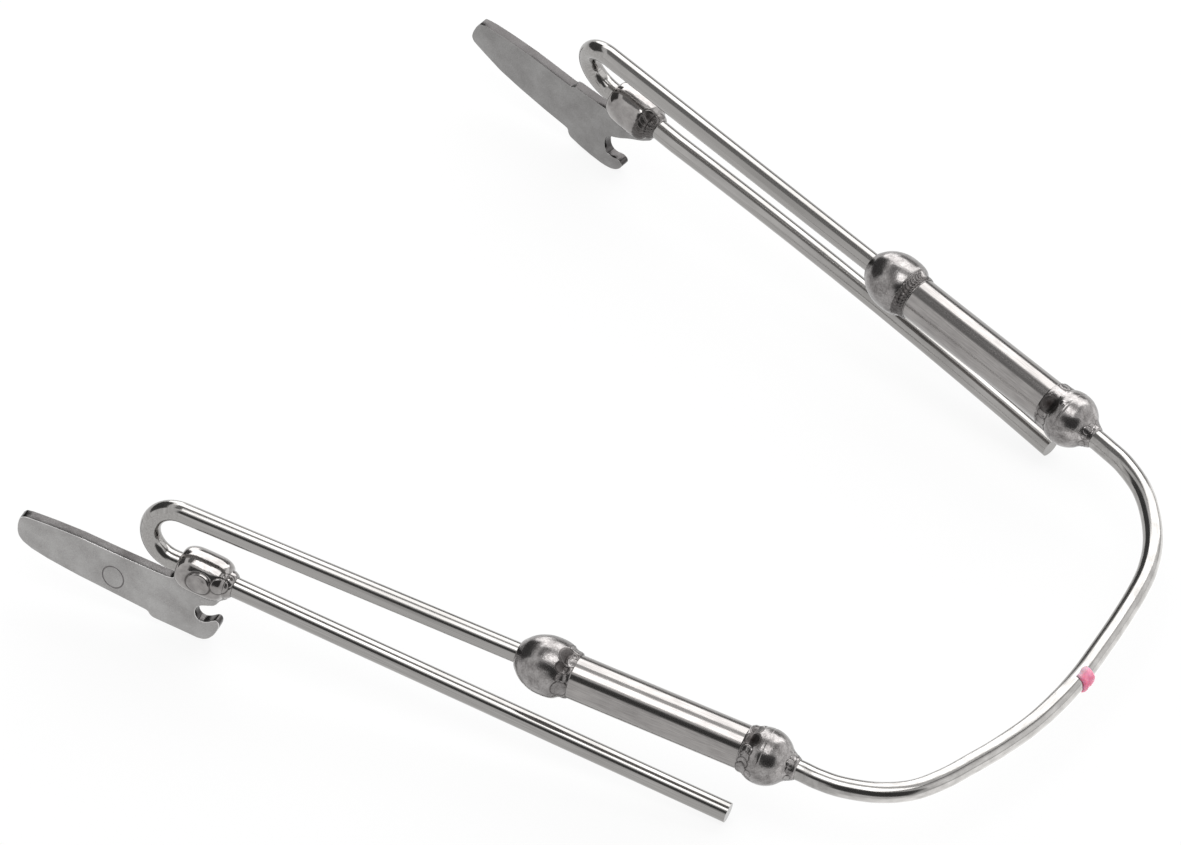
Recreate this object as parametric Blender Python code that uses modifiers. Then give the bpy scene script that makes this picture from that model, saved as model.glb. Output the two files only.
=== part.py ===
"""Sagittal expander: a lower lingual orthodontic appliance of polished steel wire.

Two telescopic arms, one each side of the midline, slide in spring loaded tubes
that a curved bow wire joins at the front. Each arm is one U-bent wire whose
lower leg carries a sheath bead and a flat molar plate with a hook.

Object frame: +X to the front (the bow), +Y to the left, +Z up, origin at the
middle of the bounding box on the table, y = 0 the plane of symmetry. Lengths
below are millimetres and become metres where the geometry is made.
"""

import math

import bmesh
import bpy
from mathutils import Vector

MM = 0.001

# Wires and clearances
WIRE_R = 0.45
RUN_GAP = 0.03
SEAT_GAP = 0.012

# Main sizes: across the two front balls, along each tube from cap to ball, along
# the upper leg from cap to U-bend, from the ball centres to the front of the bow
BALL_SPAN = 23.38
BALL_HEIGHT = 3.993
TUBE_LENGTH = 10.183
ARM_LENGTH = 17.1
BOW_DEPTH = 8.07
PLATE_TAIL = 8.235

# Midline mark: a bead of wax on the front and under side of the bow
MARK_HALF = 0.33
MARK_THICK = 0.103
MARK_IN = WIRE_R + SEAT_GAP
MARK_OUT = MARK_IN + MARK_THICK

# Tube axis, left side: its direction and the centres of front ball and rear cap
AXIS = Vector((0.97907, -0.16596, -0.11784)).normalized()
BALL_X = (AXIS.x * (TUBE_LENGTH + ARM_LENGTH) + PLATE_TAIL - BOW_DEPTH - MARK_OUT) / 2
BALL = Vector((BALL_X, BALL_SPAN / 2, BALL_HEIGHT))
CAP = BALL - AXIS * TUBE_LENGTH
TUBE_R = 0.975
TUBE_WALL = 0.195
TUBE_BORE_R = TUBE_R - TUBE_WALL
TUBE_SEAT = 0.36
BALL_SEAT = 0.5
NECK_LENGTH = 1.17

# Rear cap: a barrel with a domed rear (along from the cap centre, radius over the
# tube's). Its front shoulder and the ball's place differ a little by side
CAP_BARREL = [
    (-1.47, -0.475), (-1.41, -0.36), (-1.28, -0.215), (-1.1, -0.045), (-0.88, 0.1), (-0.62, 0.215),
    (-0.35, 0.29), (-0.05, 0.32), (0.25, 0.315), (0.48, 0.285), (0.65, 0.225), (0.76, 0.14),
]
CAP_SHOULDER = {"left": 0.13, "right": 0.0}
CAP_DOME = {"left": 0.1, "right": 0.0}
BALL_R = TUBE_R + 0.28
BALL_AT = {"left": 0.03, "right": -0.19}

# Rod, stop collar and spring inside the tube, measured from the cap centre
COLLAR_BACK = 0.39
COLLAR_LENGTH = 0.8
COLLAR_PLAY = 0.04
COLLAR_R = TUBE_BORE_R - COLLAR_PLAY
ROD_END = COLLAR_BACK + COLLAR_LENGTH + 0.13
SPRING_BACK = COLLAR_BACK + COLLAR_LENGTH + 0.025
SPRING_R = (TUBE_BORE_R + WIRE_R) / 2 + 0.005
SPRING_WIRE_R = 0.1
SPRING_TURNS = 10

# Arm: the U-bend behind the cap, then the lower leg
BEND = CAP - AXIS * ARM_LENGTH
BEND_R = 1.36
BEND_DOWN = Vector((-0.0786, 0.168, -0.982))
LEG_FRONT = BALL + Vector((-1.47, 0.91, -3.55))
LEG_BOW = {"left": Vector((0.0, 0.16, 0.08)), "right": Vector((0.0, 0.0, 0.0))}

# Sheath bead on the lower leg
SHEATH_AT = 1.0
SHEATH_R = 0.99
SHEATH_HALF = 1.2

# Molar plate: outer face origin, direction of its long edge, outline (along, up).
# Both are ground by hand, so tip, lower edge and hook differ a little
PLATE_O = BEND + Vector((-3.548, 1.042, -3.675))
PLATE_U = Vector((0.985, -0.136, -0.107)).normalized()
PLATE_T = 0.45
BLADE_TOP = [(0.6, 0.22), (-1.2, 0.27), (-2.6, 0.2), (-3.6, 0.1)]
BLADE_TIP = {
    "left": [(-3.95, 0.03), (-4.2, -0.05), (-4.38, -0.42), (-4.52, -0.85), (-4.57, -1.2), (-4.45, -1.42), (-4.18, -1.54), (-3.73, -1.71)],
    "right": [(-3.92, 0.02), (-4.08, -0.2), (-4.13, -0.6), (-4.12, -1.0), (-4.03, -1.32), (-3.82, -1.57), (-3.38, -1.79)],
}
BLADE_LOW = {
    "left": [(-2.8, -2.04), (-1.6, -2.26), (-0.1, -2.45), (1.15, -2.56)],
    "right": [(-2.6, -1.98), (-1.8, -2.1), (-1.05, -2.2), (0.9, -2.37)],
}
HOOK = {
    "left": [
        (1.27, -2.6), (1.33, -2.84), (1.46, -2.98), (2.08, -3.11), (2.69, -3.18), (3.28, -3.2), (3.6, -3.16), (3.88, -3.06),
        (4.1, -2.9), (4.24, -2.68), (4.32, -2.42), (4.25, -2.24), (4.08, -2.15), (3.86, -2.13), (3.66, -2.08), (3.49, -1.98),
        (3.4, -1.76), (3.38, -1.5), (3.48, -1.28), (3.7, -1.1), (4.1, -0.96), (4.56, -0.78), (4.95, -0.56),
    ],
    "right": [
        (2.2, -2.49), (2.3, -2.57), (2.38, -2.75), (2.55, -2.84), (3.8, -2.86), (4.7, -2.9), (4.95, -2.83),
        (5.16, -2.67), (5.35, -2.33), (5.48, -1.87), (5.53, -1.47), (5.49, -1.23), (5.38, -1.12), (5.24, -1.12),
        (5.08, -1.17), (4.9, -1.21), (4.76, -1.17), (4.66, -1.07), (4.62, -0.92), (4.65, -0.76), (4.74, -0.64), (4.95, -0.53),
    ],
}
TAB = [(5.28, -0.34), (5.42, -0.12), (5.55, 0.16), (5.85, 0.44), (5.98, 0.75), (3.5, 0.75), (3.34, 0.42), (2.72, 0.36), (2.6, 0.3), (2.52, 0.12)]
RING_AT = (0.52, -1.32)
RING_HALF = (0.5, 0.66)

# Bow wire, left half in plan: shares of its depth forward and of the half span aside
BOW = [(0.2788, 0.9675), (0.4064, 0.9427), (0.5675, 0.8854), (0.6976, 0.7981), (0.803, 0.6912), (0.8761, 0.5774), (0.9306, 0.4577), (0.974, 0.2908), (0.995, 0.1283)]
BOW_SLOPE = 0.109

PARTS = bpy.data.collections.new("parts")
CUTTERS = bpy.data.collections.new("cutters")


def clear_scene():
    for item in list(bpy.data.objects):
        bpy.data.objects.remove(item, do_unlink=True)
    bpy.context.scene.collection.children.link(PARTS)
    bpy.context.scene.collection.children.link(CUTTERS)


def material(name, colour, roughness, metallic=1.0):
    made = bpy.data.materials.new(name)
    made.use_nodes = True
    shader = made.node_tree.nodes["Principled BSDF"]
    shader.inputs["Base Color"].default_value = (*colour, 1.0)
    shader.inputs["Roughness"].default_value = roughness
    shader.inputs["Metallic"].default_value = metallic
    made.diffuse_color = (*colour, 1.0)
    return made


def sided(point, side):
    """A point of the left side, or its mirror image for the right side."""
    return Vector((point[0], point[1] if side == "left" else -point[1], point[2]))


def add(name, data, made, where=None):
    item = bpy.data.objects.new(name, data)
    (where or PARTS).objects.link(item)
    if made is not None:
        data.materials.append(made)
    else:
        item.hide_render = True
        item.display_type = "WIRE"
    return item


def mesh_from(name, points, faces, smooth=True):
    """A closed mesh, its faces turned outward. Points are millimetres."""
    bm = bmesh.new()
    made = [bm.verts.new(Vector(p) * MM) for p in points]
    for face in faces:
        bm.faces.new([made[i] for i in face])
    bmesh.ops.recalc_face_normals(bm, faces=bm.faces)
    data = bpy.data.meshes.new(name)
    bm.to_mesh(data)
    bm.free()
    data.polygons.foreach_set("use_smooth", [smooth] * len(data.polygons))
    return data


def axes_of(direction):
    """Two unit vectors square to the direction, the second as near up as it can be."""
    up = Vector((0, 0, 1)) - direction * direction.z
    up.normalize()
    return up.cross(direction).normalized(), up


def turned(name, centre, direction, profile, steps=48, ripple=None):
    """A ring solid turned about an axis from a closed profile of (along, radius).

    ripple, if given, changes a radius by the place along and the angle about the axis.
    """
    across, up = axes_of(direction)
    points, faces = [], []
    count = len(profile)
    for i in range(steps):
        angle = 2 * math.pi * i / steps
        radial = across * math.cos(angle) + up * math.sin(angle)
        for along, radius in profile:
            extra = ripple(along, radius, angle) if ripple else 0.0
            points.append(centre + direction * along + radial * (radius + extra))
    for i in range(steps):
        j = (i + 1) % steps
        for k in range(count):
            m = (k + 1) % count
            faces.append((i * count + k, i * count + m, j * count + m, j * count + k))
    return mesh_from(name, points, faces)


def wire(name, path, radius, made, sides=16, where=None):
    """A round wire with flat ends along a path in millimetres."""
    curve = bpy.data.curves.new(name, "CURVE")
    curve.dimensions = "3D"
    curve.twist_mode = "MINIMUM"
    curve.bevel_depth = radius * MM
    curve.bevel_resolution = (sides - 4) // 2
    curve.use_fill_caps = True
    curve.resolution_u = 1
    spline = curve.splines.new("POLY")
    spline.points.add(len(path) - 1)
    for point, place in zip(spline.points, path):
        point.co = (*(Vector(place) * MM), 1.0)
    return add(name, curve, made, where)


def smooth_path(points, per_span=5):
    """A Catmull-Rom path through the points."""
    ends = [points[0] * 2 - points[1], *points, points[-1] * 2 - points[-2]]
    path = []
    for i in range(1, len(ends) - 2):
        a, b, c, d = ends[i - 1 : i + 3]
        for k in range(per_span):
            t = k / per_span
            path.append(
                0.5 * (2 * b + (c - a) * t + (2 * a - 5 * b + 4 * c - d) * t**2 + (3 * b - a - 3 * c + d) * t**3)
            )
    path.append(points[-1])
    return path


def boolean(item, other, operation="DIFFERENCE"):
    made = item.modifiers.new(operation.lower() + "_" + other.name, "BOOLEAN")
    made.operation = operation
    made.solver = "EXACT"
    made.object = other


def arm_path(side):
    """Centre line of the arm wire: rod in the tube, upper leg, U-bend, lower leg."""
    axis = AXIS
    down = (BEND_DOWN - axis * BEND_DOWN.dot(axis)).normalized()
    centre = BEND + down * BEND_R
    path = [CAP + axis * ROD_END, CAP, CAP.lerp(BEND, 0.35), CAP.lerp(BEND, 0.88)]
    for i in range(19):
        angle = math.pi * i / 18
        path.append(centre - down * BEND_R * math.cos(angle) - axis * BEND_R * math.sin(angle))
    start = path.pop()
    leg = (LEG_FRONT - start).normalized()
    corner = start + axis * 0.45
    leg = (LEG_FRONT - corner).normalized()
    first, last = start, corner + leg * 0.45
    for i in range(5):
        t = i / 4
        path.append(first * (1 - t) ** 2 + corner * 2 * t * (1 - t) + last * t**2)
    for share in (0.04, 0.12, 0.25, 0.4, 0.55, 0.7, 0.85, 1.0):
        bowed = max(0.0, (share - 0.12) / 0.88)
        path.append(last.lerp(LEG_FRONT, share) + LEG_BOW[side] * 4 * bowed * (1 - bowed))
    return [sided(p, side) for p in path], sided(corner, side), sided(leg, side)


def weld_ripple(start, end, count, height):
    """Overlapping weld spots round a neck: a wave about the axis between two places along it."""

    def change(along, radius, angle):
        if not start < along < end or radius < TUBE_R:
            return 0.0
        share = math.sin(math.pi * (along - start) / (end - start))
        return height * share * (abs(math.cos(count * angle / 2)) - 0.35)

    return change


def neck_profile(shift=0.0):
    """(along, radius) of the short welded neck that overlaps the tube, away from the sphere."""
    rows = [(0.29, 0.082), (0.14, 0.075), (0.03, 0.045), (0.0, SEAT_GAP)]
    return [(NECK_LENGTH - back + shift, TUBE_R + rise) for back, rise in rows]


def rear_cap(side, steel):
    shoulder = CAP_SHOULDER[side]
    dome = CAP_DOME[side]
    outer = [(along + (shoulder if along > 0.2 else dome), TUBE_R + rise) for along, rise in CAP_BARREL]
    outer += neck_profile(shoulder)
    bore = WIRE_R + RUN_GAP
    inner = [(TUBE_SEAT, TUBE_R + SEAT_GAP), (TUBE_SEAT, bore + 0.06), (TUBE_SEAT - 0.06, bore), (outer[0][0] + 0.05, bore), (outer[0][0], bore + 0.02)]
    ripple = weld_ripple(0.8 + shoulder, 1.16 + shoulder, 16, 0.05)
    data = turned(f"{side}_rear_cap", sided(CAP, side), sided(AXIS, side), outer + inner, 48, ripple)
    return add(f"{side}_rear_cap", data, steel)


def front_ball(side, steel):
    seat = TUBE_R + SEAT_GAP
    middle = BALL_AT[side]
    outer = [(-along, radius) for along, radius in reversed(neck_profile())]
    for share in (-0.5, -0.34, -0.186, -0.035):
        outer.append((middle + BALL_R * share, BALL_R * math.sqrt(1 - share**2)))
    outer.append((middle, BALL_R - 0.028))
    for share in (0.035, 0.2, 0.37, 0.53, 0.67, 0.79):
        outer.append((middle + BALL_R * share, BALL_R * math.sqrt(1 - share**2)))
    for along, rise in ((-0.12, 0.2), (-0.02, 0.13), (0.08, 0.1), (0.17, 0.07), (0.24, SEAT_GAP)):
        outer.append((middle + BALL_R + along, WIRE_R + rise))
    inner = [(0.5, WIRE_R + SEAT_GAP), (0.5, 0.2), (-BALL_SEAT, 0.2), (-BALL_SEAT, seat)]
    data = turned(f"{side}_front_ball", sided(BALL, side), sided(AXIS, side), outer + inner, 48, weld_ripple(-1.16, -0.8, 16, 0.05))
    return add(f"{side}_front_ball", data, steel)


def telescope(side, steels):
    """Tube, stop collar and spring, coaxial between the cap and the ball."""
    axis = AXIS
    centre, line = sided(CAP, side), sided(axis, side)
    front = TUBE_LENGTH - BALL_SEAT - 0.01
    back = TUBE_SEAT + 0.01
    profile = [(back, TUBE_BORE_R), (front, TUBE_BORE_R), (front, TUBE_R - 0.04), (front - 0.04, TUBE_R), (back + 0.04, TUBE_R), (back, TUBE_R - 0.04)]
    add(f"{side}_tube", turned(f"{side}_tube", centre, line, profile, 36), steels["tube"])
    a, b = COLLAR_BACK, COLLAR_BACK + COLLAR_LENGTH
    bore = WIRE_R + RUN_GAP
    profile = [(a, bore), (b, bore), (b, COLLAR_R - 0.08), (b - 0.08, COLLAR_R), (a + 0.08, COLLAR_R), (a, COLLAR_R - 0.08)]
    add(f"{side}_stop_collar", turned(f"{side}_stop_collar", centre, line, profile, 24), steels["collar"])
    across, up = axes_of(line)
    first, last = SPRING_BACK + SPRING_WIRE_R, front - SPRING_WIRE_R
    path = []
    samples = SPRING_TURNS * 10
    for i in range(samples + 1):
        turn = i / 10
        if turn < 1:
            along = first + 0.24 * turn
        elif turn > SPRING_TURNS - 1:
            along = last - 0.24 * (SPRING_TURNS - turn)
        else:
            along = first + 0.24 + (last - first - 0.48) * (turn - 1) / (SPRING_TURNS - 2)
        angle = 2 * math.pi * turn
        path.append(centre + line * along + across * SPRING_R * math.cos(angle) + up * SPRING_R * math.sin(angle))
    wire(f"{side}_spring", path, SPRING_WIRE_R, steels["spring"], 6)


def sheath(side, steel):
    _, corner, leg = arm_path(side)
    centre = corner + leg * SHEATH_AT
    bore = WIRE_R + SEAT_GAP
    barrel = [(-1.0, 0.566), (-0.94, 0.747), (-0.817, 0.869), (-0.625, 0.96), (-0.35, 1.0), (0.292, 1.0), (0.55, 0.97), (0.75, 0.889), (0.867, 0.768)]
    outer = [(SHEATH_HALF * along, SHEATH_R * share) for along, share in barrel]
    foot = [(-0.12, 0.21), (-0.02, 0.18), (0.05, 0.15), (0.14, 0.1), (0.2, SEAT_GAP + 0.02)]
    outer += [(SHEATH_HALF + along, WIRE_R + rise) for along, rise in foot]
    inner = [(SHEATH_HALF + 0.2, bore), (-SHEATH_HALF, bore)]
    return add(f"{side}_sheath", turned(f"{side}_sheath", centre, leg, outer + inner, 40), steel), centre, leg


def plate_axes(side):
    along = sided(PLATE_U, side)
    up = (Vector((0, 0, 1)) - along * along.z).normalized()
    out = along.cross(up)
    if (out.y > 0) != (side == "left"):
        out = -out
    return sided(PLATE_O, side), along, up, out


def on_plate(side, along, up, out=0.0):
    centre, a, u, o = plate_axes(side)
    return centre + a * along + u * up + o * out


def nugget(name, side, along, up, out, half, lean=0.0):
    """A flattened weld spot, its short axis leaning from the plate towards up."""
    _, a, u, o = plate_axes(side)
    short = o * math.cos(lean) + u * math.sin(lean)
    tall = u * math.cos(lean) - o * math.sin(lean)
    bm = bmesh.new()
    bmesh.ops.create_uvsphere(bm, u_segments=16, v_segments=10, radius=1.0)
    centre = on_plate(side, along, up, out)
    for v in bm.verts:
        v.co = (centre + a * half[0] * v.co.x + tall * half[1] * v.co.y + short * half[2] * v.co.z) * MM
    bmesh.ops.recalc_face_normals(bm, faces=bm.faces)
    data = bpy.data.meshes.new(name)
    bm.to_mesh(data)
    bm.free()
    return add(name, data, None, CUTTERS)


def ring_groove(side):
    """The oval ring mark pressed in the outer face, as a thin oval torus to cut away."""
    points, faces = [], []
    for i in range(32):
        angle = 2 * math.pi * i / 32
        for k in range(6):
            turn = 2 * math.pi * k / 6
            grow = 1 + 0.045 * math.cos(turn) / RING_HALF[0]
            points.append(on_plate(side, RING_AT[0] + RING_HALF[0] * grow * math.cos(angle), RING_AT[1] + RING_HALF[1] * grow * math.sin(angle), 0.02 + 0.045 * math.sin(turn)))
    for i in range(32):
        j = (i + 1) % 32
        for k in range(6):
            m = (k + 1) % 6
            faces.append((i * 6 + k, i * 6 + m, j * 6 + m, j * 6 + k))
    return add(f"{side}_ring_cutter", mesh_from(f"{side}_ring_cutter", points, faces), None, CUTTERS)


def molar_plate(side, steel, centre, leg):
    outline = [*TAB, *BLADE_TOP, *BLADE_TIP[side], *BLADE_LOW[side], *HOOK[side]]
    points = [on_plate(side, x, y, 0.0) for x, y in outline] + [on_plate(side, x, y, -PLATE_T) for x, y in outline]
    count = len(outline)
    faces = [tuple(range(count)), tuple(range(2 * count - 1, count - 1, -1))]
    faces += [(i, (i + 1) % count, count + (i + 1) % count, count + i) for i in range(count)]
    plate = add(f"{side}_molar_plate", mesh_from(f"{side}_molar_plate", points, faces, False), steel)
    edge = plate.modifiers.new("edge", "BEVEL")
    edge.width = 0.05 * MM
    edge.segments = 2
    edge.limit_method = "ANGLE"
    edge.angle_limit = math.radians(60)
    for i, (along, up, out, half, lean) in enumerate(
        [
            (4.35, 0.36, 0.06, (0.62, 0.46, 0.2), 0.35),
            (5.3, 0.38, 0.05, (0.4, 0.38, 0.19), 0.35),
            (4.75, 0.36, -PLATE_T - 0.04, (0.7, 0.4, 0.17), math.pi - 0.3),
        ]
    ):
        boolean(plate, nugget(f"{side}_nugget_{i}", side, along, up, out, half, lean), "UNION")
    boolean(plate, ring_groove(side))
    room = SHEATH_R + SEAT_GAP
    profile = [(-SHEATH_HALF - 0.3, room), (SHEATH_HALF + 0.4, room)]
    across, up_axis = axes_of(leg)
    cutter_points, cutter_faces = [], []
    steps = 40
    for i in range(steps):
        angle = 2 * math.pi * i / steps
        radial = across * math.cos(angle) + up_axis * math.sin(angle)
        for along, radius in profile:
            cutter_points.append(centre + leg * along + radial * radius)
    for i in range(steps):
        j = (i + 1) % steps
        cutter_faces.append((2 * i, 2 * i + 1, 2 * j + 1, 2 * j))
    cutter_faces.append(tuple(2 * i for i in range(steps)))
    cutter_faces.append(tuple(2 * i + 1 for i in range(steps)))
    seat = add(f"{side}_seat_cutter", mesh_from(f"{side}_seat_cutter", cutter_points, cutter_faces), None, CUTTERS)
    boolean(plate, seat)
    return plate


def bow_wire(steel):
    axis = AXIS
    half = [BALL + axis * 0.52, BALL + axis * 1.05, BALL + axis * 1.5]
    half += [BALL + Vector((BOW_DEPTH * x, BALL.y * (y - 1), -BOW_SLOPE * BOW_DEPTH * x)) for x, y in BOW]
    middle = Vector((BALL.x + BOW_DEPTH, 0, BALL.z - BOW_SLOPE * BOW_DEPTH))
    points = half + [middle] + [sided(p, "right") for p in reversed(half)]
    wire("bow_wire", smooth_path(points, 3), WIRE_R, steel)
    return middle


def midline_mark(middle, wax):
    """A sector of a sleeve round the bow, over its front and under side."""
    points, faces = [], []
    steps = 16
    rows = [(-MARK_HALF, MARK_IN), (-MARK_HALF, MARK_OUT - 0.04), (-MARK_HALF + 0.05, MARK_OUT), (MARK_HALF - 0.05, MARK_OUT), (MARK_HALF, MARK_OUT - 0.04), (MARK_HALF, MARK_IN)]
    count = len(rows)
    for i in range(steps + 1):
        angle = math.radians(-115 + 170 * i / steps)
        for y, radius in rows:
            thin = MARK_IN + (radius - MARK_IN) * (0.45 if i in (0, steps) else 1.0)
            points.append(middle + Vector((thin * math.cos(angle), y, thin * math.sin(angle))))
    for i in range(steps):
        for k in range(count):
            m = (k + 1) % count
            faces.append((i * count + k, i * count + m, (i + 1) * count + m, (i + 1) * count + k))
    faces.append(tuple(range(count)))
    faces.append(tuple(steps * count + k for k in range(count)))
    add("midline_mark", mesh_from("midline_mark", points, faces), wax)


def build():
    clear_scene()
    steels = {
        "wire": material("polished_wire", (0.62, 0.61, 0.6), 0.12),
        "tube": material("polished_tube", (0.6, 0.59, 0.58), 0.14),
        "ball": material("tumbled_steel", (0.5, 0.49, 0.49), 0.24),
        "sheath": material("bright_steel", (0.64, 0.63, 0.62), 0.1),
        "plate": material("satin_steel", (0.52, 0.51, 0.5), 0.36),
        "collar": material("turned_steel", (0.55, 0.54, 0.53), 0.3),
        "spring": material("spring_alloy", (0.45, 0.44, 0.45), 0.25),
    }
    wax = material("pink_wax", (0.85, 0.08, 0.35), 0.45, 0.0)
    middle = bow_wire(steels["wire"])
    midline_mark(middle, wax)
    for side in ("left", "right"):
        rear_cap(side, steels["ball"])
        front_ball(side, steels["ball"])
        telescope(side, steels)
        path, _, _ = arm_path(side)
        wire(f"{side}_arm_wire", path, WIRE_R, steels["wire"])
        _, centre, leg = sheath(side, steels["sheath"])
        molar_plate(side, steels["plate"], centre, leg)


build()
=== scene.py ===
"""Sagittal expander, dressed for rendering.

The appliance is laser welded stainless steel: polished wire and tube, tumbled
caps and balls, satin plates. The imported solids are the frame; the pieces made
here stand for the wires, tubes, caps, balls and sheaths with the weld spots,
seams and grain that the solids leave out. Lengths are millimetres in the
object's frame (+X front, +Y left, +Z up) and become metres in the meshes.
"""

from __future__ import annotations

import logging
import math
from dataclasses import dataclass, field
from enum import Enum
from typing import ClassVar

import bpy
import numpy as np
from mathutils import Matrix, Vector

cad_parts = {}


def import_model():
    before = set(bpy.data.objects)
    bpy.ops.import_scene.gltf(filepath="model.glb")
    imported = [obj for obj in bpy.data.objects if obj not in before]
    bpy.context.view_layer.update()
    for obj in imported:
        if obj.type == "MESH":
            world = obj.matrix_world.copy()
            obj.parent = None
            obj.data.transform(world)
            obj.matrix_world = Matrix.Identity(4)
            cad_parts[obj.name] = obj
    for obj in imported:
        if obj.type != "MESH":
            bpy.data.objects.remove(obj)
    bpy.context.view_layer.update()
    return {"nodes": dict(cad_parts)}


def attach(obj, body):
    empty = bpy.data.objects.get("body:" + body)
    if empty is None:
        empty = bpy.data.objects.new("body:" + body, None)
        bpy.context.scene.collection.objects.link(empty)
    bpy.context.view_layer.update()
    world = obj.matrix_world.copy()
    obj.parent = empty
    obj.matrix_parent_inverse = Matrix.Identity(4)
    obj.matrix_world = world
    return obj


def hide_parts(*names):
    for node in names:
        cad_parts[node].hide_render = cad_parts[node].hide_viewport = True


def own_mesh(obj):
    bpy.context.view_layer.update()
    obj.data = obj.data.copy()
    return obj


LOG = logging.getLogger("expander")
MM = 0.001
Rows = tuple[tuple[float, float], ...]

# Points that are nearer than this, in metres, are one, and edges that turn by
# fewer degrees than this are shaded smooth
SAME_POINT = 1e-7
SMOOTH_BELOW = 50

# Kinds of node used often
MATH, MIX, RANGE = "ShaderNodeMath", "ShaderNodeMix", "ShaderNodeMapRange"
MAPPING, NOISE = "ShaderNodeMapping", "ShaderNodeTexNoise"

# Sizes shared with the solids
WIRE_R = 0.45
RUN_GAP = 0.03
SEAT_GAP = 0.012
TUBE_R = 0.975
TUBE_WALL = 0.195
TUBE_LENGTH = 10.183
TUBE_SEAT = 0.36
BALL_SEAT = 0.5
TUBE_END = TUBE_LENGTH - BALL_SEAT - 0.01
SPRING_BACK = 1.215
BALL_SPAN = 23.38
BALL_HEIGHT = 3.993
ARM_LENGTH = 17.1
BEND_R = 1.36
BOW_DEPTH = 8.07
BOW_SLOPE = 0.109
MARK_OUT = 0.565
PLATE_TAIL = 8.235
PLATE_T = 0.45

# Places on the left side: the axis of tube, rod and upper leg, the centres of
# front ball and rear cap, the U-bend, the lower leg's end and the plate
AXIS = Vector((0.97907, -0.16596, -0.11784)).normalized()
BALL_X = (AXIS.x * (TUBE_LENGTH + ARM_LENGTH) + PLATE_TAIL - BOW_DEPTH - MARK_OUT) / 2
BALL = Vector((BALL_X, BALL_SPAN / 2, BALL_HEIGHT))
CAP = BALL - AXIS * TUBE_LENGTH
BEND = CAP - AXIS * ARM_LENGTH
BEND_DOWN = Vector((-0.0786, 0.168, -0.982))
LEG_FRONT = BALL + Vector((-1.47, 0.91, -3.55))
PLATE_O = BEND + Vector((-3.548, 1.042, -3.675))
PLATE_U = Vector((0.985, -0.136, -0.107)).normalized()


class Side(Enum):
    """One half of the appliance, as the wearer has it."""

    LEFT = "left"
    RIGHT = "right"

    def place(self, point: Vector) -> Vector:
        """Return a left side point, mirrored across y = 0 for the right side."""
        return Vector((point.x, point.y if self is Side.LEFT else -point.y, point.z))


@dataclass(frozen=True)
class Line:
    """The axis of a turned part.

    Args:
        centre: the point from which lengths along the axis are measured.
        direction: unit vector, to the front for every part here.
    """

    centre: Vector
    direction: Vector

    @property
    def up(self) -> Vector:
        """Unit vector square to the axis, as near up as it can be."""
        return (Vector((0, 0, 1)) - self.direction * self.direction.z).normalized()

    @property
    def across(self) -> Vector:
        """Unit vector square to the axis and to up."""
        return self.up.cross(self.direction).normalized()

    def at(self, along: float, radius: float, degrees: float = 0.0) -> Vector:
        """Return a point of the turned part.

        Args:
            along: place along the axis.
            radius: distance from the axis.
            degrees: angle round the axis, from across to up.

        Returns:
            The point in millimetres.
        """
        turn = math.radians(degrees)
        spoke = self.across * math.cos(turn) + self.up * math.sin(turn)
        return self.centre + self.direction * along + spoke * radius

    def polar(self, points: np.ndarray) -> tuple[np.ndarray, np.ndarray, np.ndarray]:
        """Return where points lie about the axis.

        Args:
            points: places in millimetres, one a row.

        Returns:
            Their places along the axis, their angles in degrees and their radii.
        """
        away = points - np.array(self.centre)
        along = away @ np.array(self.direction)
        a, u = away @ np.array(self.across), away @ np.array(self.up)
        return along, np.degrees(np.arctan2(u, a)), np.hypot(a, u)


# Finishes


def linear(code: str) -> tuple[float, float, float, float]:
    """Return the linear RGBA of an sRGB hex code such as 'a3b1c2'."""
    values = [int(code[i : i + 2], 16) / 255 for i in (0, 2, 4)]
    return (*[v / 12.92 if v <= 0.04045 else ((v + 0.055) / 1.055) ** 2.4 for v in values], 1.0)


def add_node(
    tree: bpy.types.NodeTree, kind: str, inputs: dict | None = None, **settings: object
) -> bpy.types.Node:
    """Add one shader node.

    Args:
        tree: the node tree.
        kind: the node's type name, such as ShaderNodeMix.
        inputs: values or output sockets by input name or index.
        settings: the node's own properties.

    Returns:
        The node.
    """
    node = tree.nodes.new(kind)
    for key, value in settings.items():
        setattr(node, key, value)
    for key, value in (inputs or {}).items():
        if isinstance(value, bpy.types.NodeSocket):
            tree.links.new(value, node.inputs[key])
        else:
            node.inputs[key].default_value = value
    return node


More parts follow.
